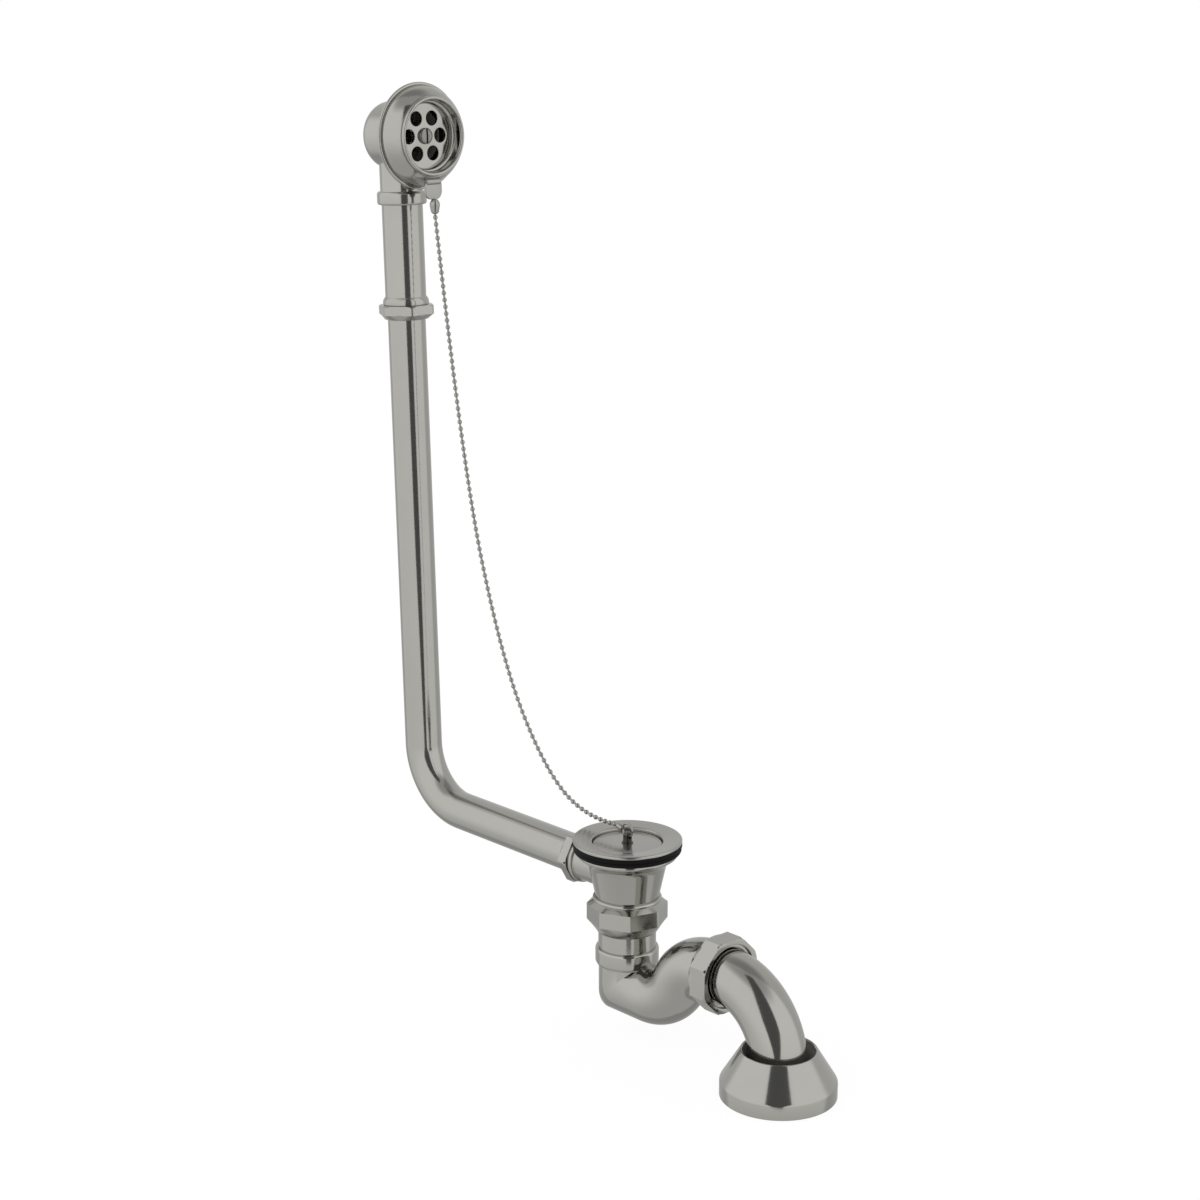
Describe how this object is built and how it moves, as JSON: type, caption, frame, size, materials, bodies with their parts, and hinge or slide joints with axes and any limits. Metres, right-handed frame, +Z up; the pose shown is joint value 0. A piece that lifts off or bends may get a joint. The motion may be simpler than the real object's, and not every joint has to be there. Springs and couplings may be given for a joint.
{
  "type": "bath waste and overflow",
  "caption": "Exposed bath waste with plug and bead chain, round overflow face on a leaning telescopic pipe, swan-neck trap and outlet elbow in a conical floor shroud.",
  "frame": {"origin": "centre of the waste flange's seat on the bath floor", "axes": "+Z up out of the drain along the waste axis, +X from the overflow towards the outlet, +Y completes the frame"},
  "size_m": [0.4047, 0.0724, 0.5951],
  "materials": {
    "nickel": "satin nickel plate",
    "chain_metal": "satin nickel plate",
    "rubber": "matt"
  },
  "bodies": {
    "root": {"waste_flange": "nickel", "waste_gasket": "rubber", "waste_body": "nickel", "inlet_nut": "nickel", "inlet_seal": "rubber", "overflow_pipe": "nickel", "upper_tube": "nickel", "slip_nut": "nickel", "slip_seal": "rubber", "overflow_elbow": "nickel", "overflow_gasket": "rubber", "overflow_face": "nickel", "face_screw": "nickel", "plug": "nickel", "plug_seal": "rubber", "trap_nut": "nickel", "trap_washer": "rubber", "trap_inlet_tube": "nickel", "trap_body": "nickel", "outlet_nut": "nickel", "outlet_washer": "rubber", "outlet_elbow": "nickel", "floor_shroud": "nickel", "chain_stay": "chain_metal", "chain_bell": "chain_metal", "bead_chain": "chain_metal", "plug_stud": "chain_metal", "plug_ring": "chain_metal", "chain_clasp": "chain_metal"}
  },
  "joints": []
}
